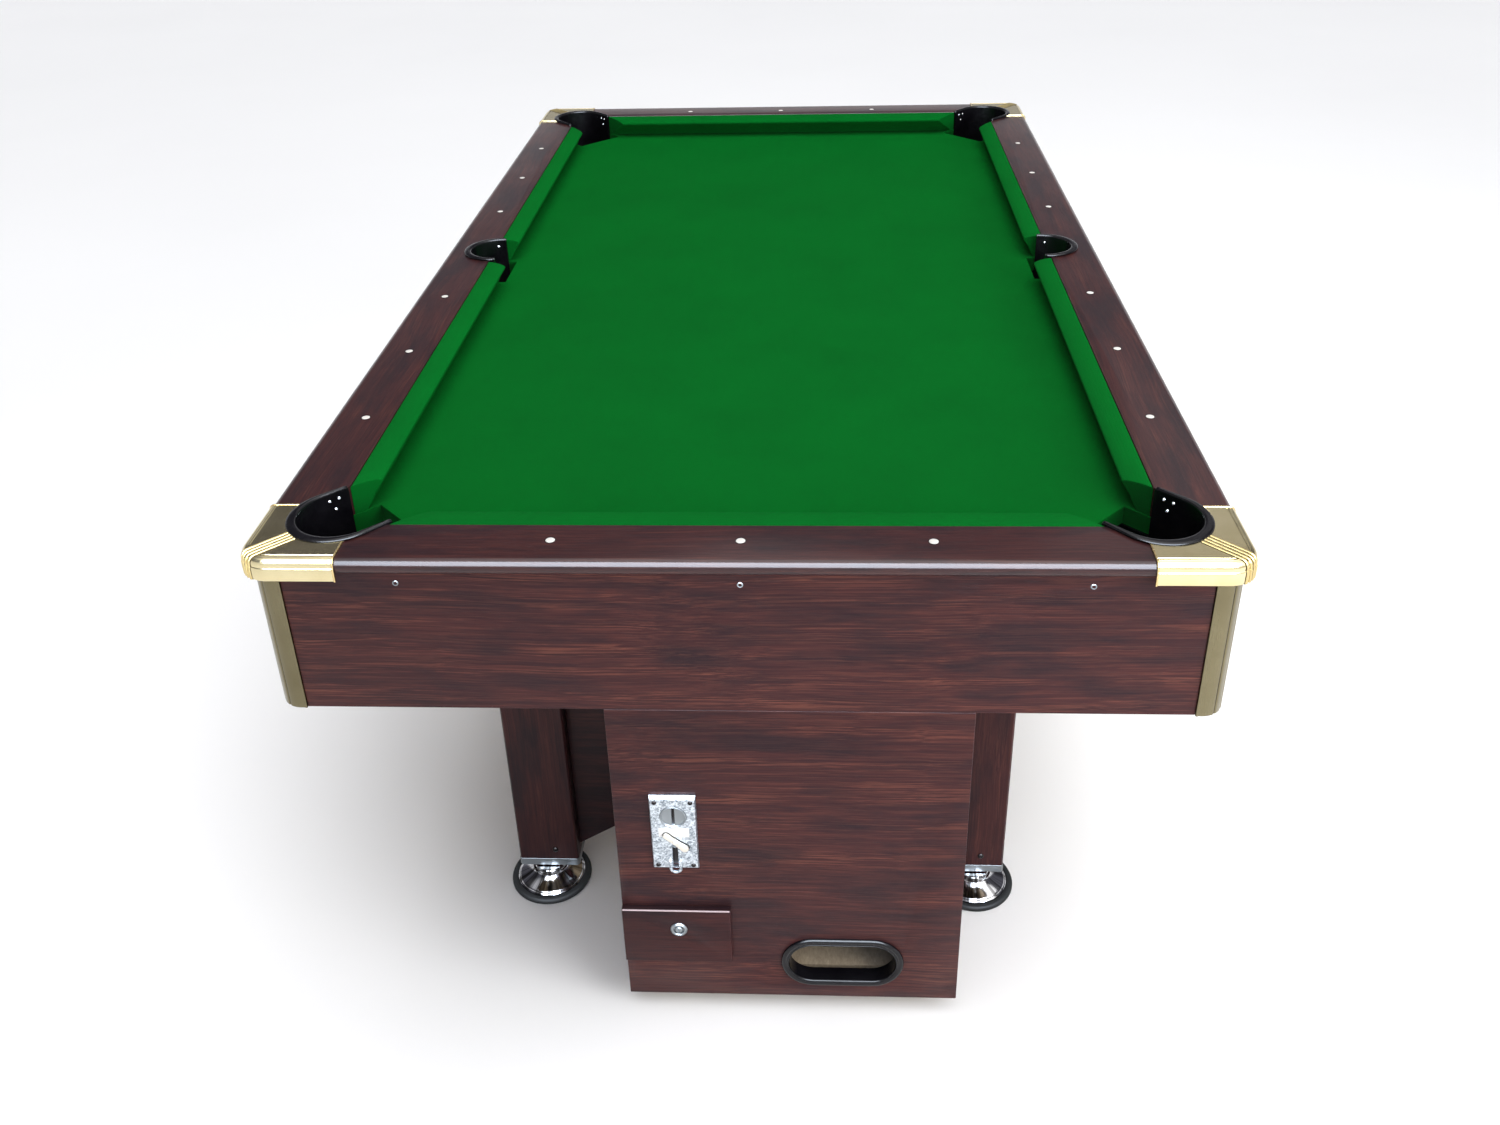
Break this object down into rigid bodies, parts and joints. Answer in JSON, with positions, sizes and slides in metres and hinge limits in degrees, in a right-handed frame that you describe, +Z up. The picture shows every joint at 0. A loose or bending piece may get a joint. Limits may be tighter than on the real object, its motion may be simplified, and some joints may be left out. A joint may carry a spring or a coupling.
{
  "type": "pool table",
  "caption": "Coin-operated pool table with a cloth bed, cushioned rails, corner and side pockets, a ball-return cabinet, square legs and levelling feet.",
  "frame": {"origin": "on the floor under the centre of the bed", "axes": "+X to the right of a player standing at the coin end, +Y along the table away from that player, +Z up"},
  "size_m": [1.274, 2.24, 0.8253],
  "materials": {
    "wood_laminate": "satin mahogany laminate",
    "board": "bare fibreboard",
    "cloth": "green woven cloth",
    "brass_casting": "satin, with polished ribs",
    "gold_trim": "gold anodised, satin",
    "black_plastic": "semi-gloss moulding",
    "chrome": "polished",
    "zinc_plate": "zinc plated, mottled",
    "steel": "plain sheet steel"
  },
  "bodies": {
    "table": {"playing_bed": "board", "bed_cloth": "cloth", "rail_near": "wood_laminate", "rail_far": "wood_laminate", "rail_left": "wood_laminate", "rail_right": "wood_laminate", "cushion_near": "cloth", "cushion_far": "cloth", "cushion_left_near": "cloth", "cushion_left_far": "cloth", "cushion_right_near": "cloth", "cushion_right_far": "cloth", "pocket_liner_near_left": "black_plastic", "pocket_liner_near_right": "black_plastic", "pocket_liner_far_left": "black_plastic", "pocket_liner_far_right": "black_plastic", "pocket_liner_side_left": "black_plastic", "pocket_liner_side_right": "black_plastic", "corner_casting_near_left": "brass_casting", "corner_casting_near_right": "brass_casting", "corner_casting_far_left": "brass_casting", "corner_casting_far_right": "brass_casting", "apron_near": "wood_laminate", "apron_far": "wood_laminate", "apron_left": "wood_laminate", "apron_right": "wood_laminate", "corner_trim_near_left": "gold_trim", "corner_trim_near_right": "gold_trim", "corner_trim_far_left": "gold_trim", "corner_trim_far_right": "gold_trim", "leg_near_left": "wood_laminate", "leg_near_right": "wood_laminate", "leg_far_left": "wood_laminate", "leg_far_right": "wood_laminate", "leg_panel_near": "wood_laminate", "leg_panel_far": "wood_laminate", "ball_runway_left": "board", "ball_runway_right": "board", "ball_cross_runway": "board", "ball_holding_shelf": "board", "ball_tray": "board", "cabinet_front": "wood_laminate", "cabinet_left": "wood_laminate", "cabinet_right": "wood_laminate", "cabinet_back": "wood_laminate", "cabinet_floor": "board", "cabinet_divider": "board", "ball_port_bezel": "black_plastic", "coin_plate": "zinc_plate", "coin_mechanism": "steel", "cash_shelf": "board"},
    "foot_near_left": {"levelling_foot_near_left": "chrome"},
    "foot_near_right": {"levelling_foot_near_right": "chrome"},
    "foot_far_left": {"levelling_foot_far_left": "chrome"},
    "foot_far_right": {"levelling_foot_far_right": "chrome"},
    "cash_drawer": {"cash_drawer_front": "wood_laminate", "cash_box": "steel"},
    "lock": {"lock_barrel": "chrome"},
    "reject_lever": {"coin_reject_lever": "zinc_plate"},
    "ball_gate": {"ball_release_gate": "steel"}
  },
  "joints": [
    {"name": "foot_near_left_screw", "type": "slide", "parent": "table", "child": "foot_near_left", "axis": [0, 0, -1], "range_m": [0, 0.03]},
    {"name": "foot_near_right_screw", "type": "slide", "parent": "table", "child": "foot_near_right", "axis": [0, 0, -1], "range_m": [0, 0.03]},
    {"name": "foot_far_left_screw", "type": "slide", "parent": "table", "child": "foot_far_left", "axis": [0, 0, -1], "range_m": [0, 0.03]},
    {"name": "foot_far_right_screw", "type": "slide", "parent": "table", "child": "foot_far_right", "axis": [0, 0, -1], "range_m": [0, 0.03]},
    {"name": "cash_drawer_slide", "type": "slide", "parent": "table", "child": "cash_drawer", "axis": [0, -1, 0], "range_m": [0, 0.12]},
    {"name": "lock_turn", "type": "hinge", "parent": "cash_drawer", "child": "lock", "pos_m": [-0.105, -1.115, 0.181], "axis": [0, -1, 0], "range_deg": [0, 90]},
    {"name": "reject_lever_turn", "type": "hinge", "parent": "table", "child": "reject_lever", "pos_m": [-0.102, -1.112, 0.35], "axis": [0, -1, 0], "range_deg": [0, 25], "stiffness_Nm_per_rad": 0.05, "springref_deg": -11.46},
    {"name": "ball_gate_swing", "type": "hinge", "parent": "table", "child": "ball_gate", "pos_m": [0.195, -1, 0.52], "axis": [0, -1, 0], "range_deg": [0, 60]}
  ]
}
